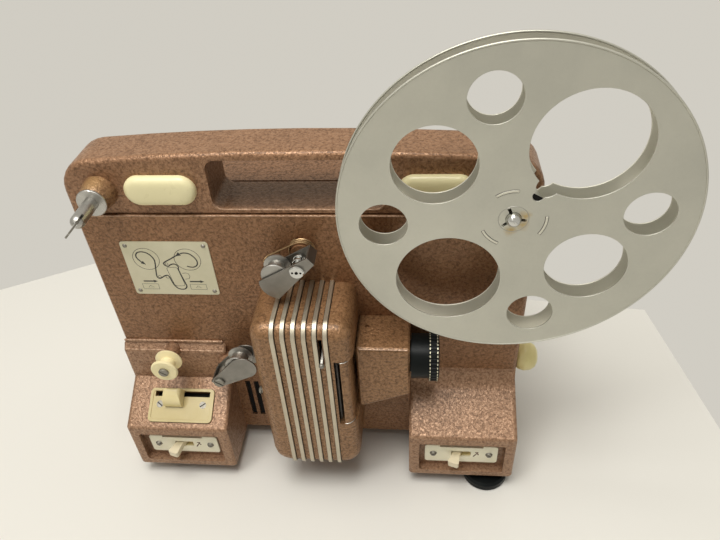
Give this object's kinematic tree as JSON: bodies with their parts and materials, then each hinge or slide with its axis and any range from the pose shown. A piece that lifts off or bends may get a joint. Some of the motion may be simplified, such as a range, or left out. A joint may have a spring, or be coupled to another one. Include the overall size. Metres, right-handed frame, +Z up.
{
  "type": "movie projector",
  "caption": "Upright small-gauge film projector with carrying handle, ribbed lamp house, lens, film levers, control consoles, take-up spindle and a supply reel on its spindle.",
  "frame": {"origin": "on the table, under the middle of the whole object's box", "axes": "+X along the projected beam, +Y from the front to the rear housing, +Z up"},
  "size_m": [0.3356, 0.1458, 0.3093],
  "materials": {
    "hammer_paint": "hammer-tone enamel",
    "boss_paint": "worn enamel",
    "cream": "cream moulding",
    "print_plate": "printed plate",
    "satin_alu": "satin",
    "rib_alu": "brushed",
    "bright_metal": "plated",
    "steel": "ground",
    "dark_steel": "plain",
    "spring_brass": "drawn wire",
    "gear_brass": "cut",
    "black_metal": "black enamel",
    "black_plastic": "moulded",
    "black_rubber": "matt",
    "belt_rubber": "matt",
    "clear_glass": "polished"
  },
  "bodies": {
    "chassis": {"front_slab": "hammer_paint", "front_panel": "hammer_paint", "left_console": "hammer_paint", "right_console": "hammer_paint", "rear_housing": "hammer_paint", "lamphouse_cover": "hammer_paint", "lens_carrier": "hammer_paint", "spindle_bosses": "boss_paint", "back_cover": "dark_steel", "shaft_bracket": "dark_steel", "motor": "dark_steel", "transformer": "dark_steel", "control_pills": "cream", "speed_plate": "cream", "switch_plates": "cream", "thread_plate": "print_plate", "lamphouse_ribs": "rib_alu", "small_fasteners": "bright_metal", "upper_post": "bright_metal", "lower_post": "bright_metal", "guide_post": "bright_metal", "gate_plate": "steel", "upper_spring": "spring_brass", "switch_bodies": "black_plastic", "lamp_socket": "black_plastic", "mains_inlet": "black_plastic", "feet": "black_rubber", "drive_belts": "belt_rubber", "lamp": "clear_glass", "condenser": "clear_glass"},
    "takeup": {"takeup_spindle": "bright_metal", "takeup_pulley": "black_plastic"},
    "latch": {"takeup_latch": "bright_metal"},
    "supply": {"supply_spindle": "bright_metal", "reel_front_flange": "satin_alu", "reel_rear_flange": "satin_alu", "reel_hub": "satin_alu"},
    "upper_arm": {"upper_lever": "steel"},
    "upper_wheel": {"upper_roller": "steel"},
    "lower_arm": {"lower_lever": "steel"},
    "lower_wheel": {"lower_roller": "steel"},
    "guide": {"guide_roller": "cream"},
    "speed": {"speed_knob": "cream"},
    "motor_switch": {"motor_toggle": "cream"},
    "lamp_switch": {"lamp_toggle": "cream"},
    "framing": {"framing_lever": "bright_metal"},
    "gate": {"pressure_gate": "hammer_paint"},
    "lens": {"lens_barrel": "black_metal", "lens_elements": "clear_glass"},
    "ring": {"focus_ring": "black_metal"},
    "main": {"main_shaft": "steel", "inching_knob": "cream", "shutter": "dark_steel", "main_pulley": "black_plastic"},
    "motor_rotor": {"motor_shaft": "steel", "fan": "black_plastic"},
    "lay": {"lay_shaft": "steel", "worm_wheel": "gear_brass", "lay_pulley": "black_plastic"},
    "elevator": {"elevating_foot": "black_rubber"}
  },
  "joints": [
    {"name": "takeup_spin", "type": "hinge", "parent": "chassis", "child": "takeup", "pos_m": [-0.1463, -0.0361, 0.2203], "axis": [0, 1, 0], "continuous": true},
    {"name": "latch_flip", "type": "hinge", "parent": "takeup", "child": "latch", "pos_m": [-0.1463, -0.0551, 0.2203], "axis": [-0.7071, 0, 0.7071], "range_deg": [0, 90]},
    {"name": "reel_spin", "type": "hinge", "parent": "chassis", "child": "supply", "pos_m": [0.0788, -0.0361, 0.2203], "axis": [0, 1, 0], "continuous": true},
    {"name": "upper_lever_swing", "type": "hinge", "parent": "chassis", "child": "upper_arm", "pos_m": [-0.0348, -0.0426, 0.1837], "axis": [0, 1, 0], "range_deg": [0, 25], "stiffness_Nm_per_rad": 0.02, "springref_deg": -17.19},
    {"name": "upper_roller_spin", "type": "hinge", "parent": "upper_arm", "child": "upper_wheel", "pos_m": [-0.04819, -0.0426, 0.17878], "axis": [0, 1, 0], "continuous": true},
    {"name": "lower_lever_swing", "type": "hinge", "parent": "chassis", "child": "lower_arm", "pos_m": [-0.0971, -0.0426, 0.089], "axis": [0, 1, 0], "range_deg": [0, 20], "stiffness_Nm_per_rad": 0.02, "springref_deg": -17.19},
    {"name": "lower_roller_spin", "type": "hinge", "parent": "lower_arm", "child": "lower_wheel", "pos_m": [-0.08313, -0.0426, 0.10264], "axis": [0, 1, 0], "continuous": true},
    {"name": "guide_roller_spin", "type": "hinge", "parent": "chassis", "child": "guide", "pos_m": [-0.1328, -0.0426, 0.0975], "axis": [0, 1, 0], "continuous": true},
    {"name": "speed_slide", "type": "slide", "parent": "chassis", "child": "speed", "axis": [1, 0, 0], "range_m": [-0.0105, 0.02]},
    {"name": "motor_switch_throw", "type": "hinge", "parent": "chassis", "child": "motor_switch", "pos_m": [-0.13205, -0.0481, 0.0303], "axis": [0, 0, 1], "range_deg": [0, 36]},
    {"name": "lamp_switch_throw", "type": "hinge", "parent": "chassis", "child": "lamp_switch", "pos_m": [0.06245, -0.0481, 0.0303], "axis": [0, 0, 1], "range_deg": [0, 36]},
    {"name": "framing_shift", "type": "hinge", "parent": "chassis", "child": "framing", "pos_m": [-0.0228, -0.0511, 0.1405], "axis": [-1, 0, 0], "range_deg": [0, 48]},
    {"name": "gate_open", "type": "slide", "parent": "chassis", "child": "gate", "axis": [1, 0, 0], "range_m": [0, 0.0014], "stiffness_N_per_m": 200, "springref_m": -0.004},
    {"name": "lens_focus", "type": "slide", "parent": "chassis", "child": "lens", "axis": [1, 0, 0], "range_m": [0, 0.006]},
    {"name": "focus_turn", "type": "hinge", "parent": "lens", "child": "ring", "pos_m": [0.0412, -0.0426, 0.1115], "axis": [1, 0, 0], "range_deg": [0, 240]},
    {"name": "main_spin", "type": "hinge", "parent": "chassis", "child": "main", "pos_m": [-0.0348, -0.0111, 0.08], "axis": [1, 0, 0], "continuous": true},
    {"name": "motor_spin", "type": "hinge", "parent": "chassis", "child": "motor_rotor", "pos_m": [-0.0348, 0.0384, 0.055], "axis": [1, 0, 0], "continuous": true},
    {"name": "lay_spin", "type": "hinge", "parent": "chassis", "child": "lay", "pos_m": [-0.0748, -0.0111, 0.0984], "axis": [0, 1, 0], "continuous": true},
    {"name": "foot_raise", "type": "slide", "parent": "chassis", "child": "elevator", "axis": [0, 0, 1], "range_m": [-0.012, 0]}
  ],
  "couplings": [
    {"joint": "focus_turn", "follows": "lens_focus", "rad_per_m": 698.13},
    {"joint": "motor_spin", "follows": "main_spin", "ratio": 1.6364},
    {"joint": "lay_spin", "follows": "main_spin", "ratio": 0.04167},
    {"joint": "takeup_spin", "follows": "main_spin", "ratio": 0.03333}
  ]
}
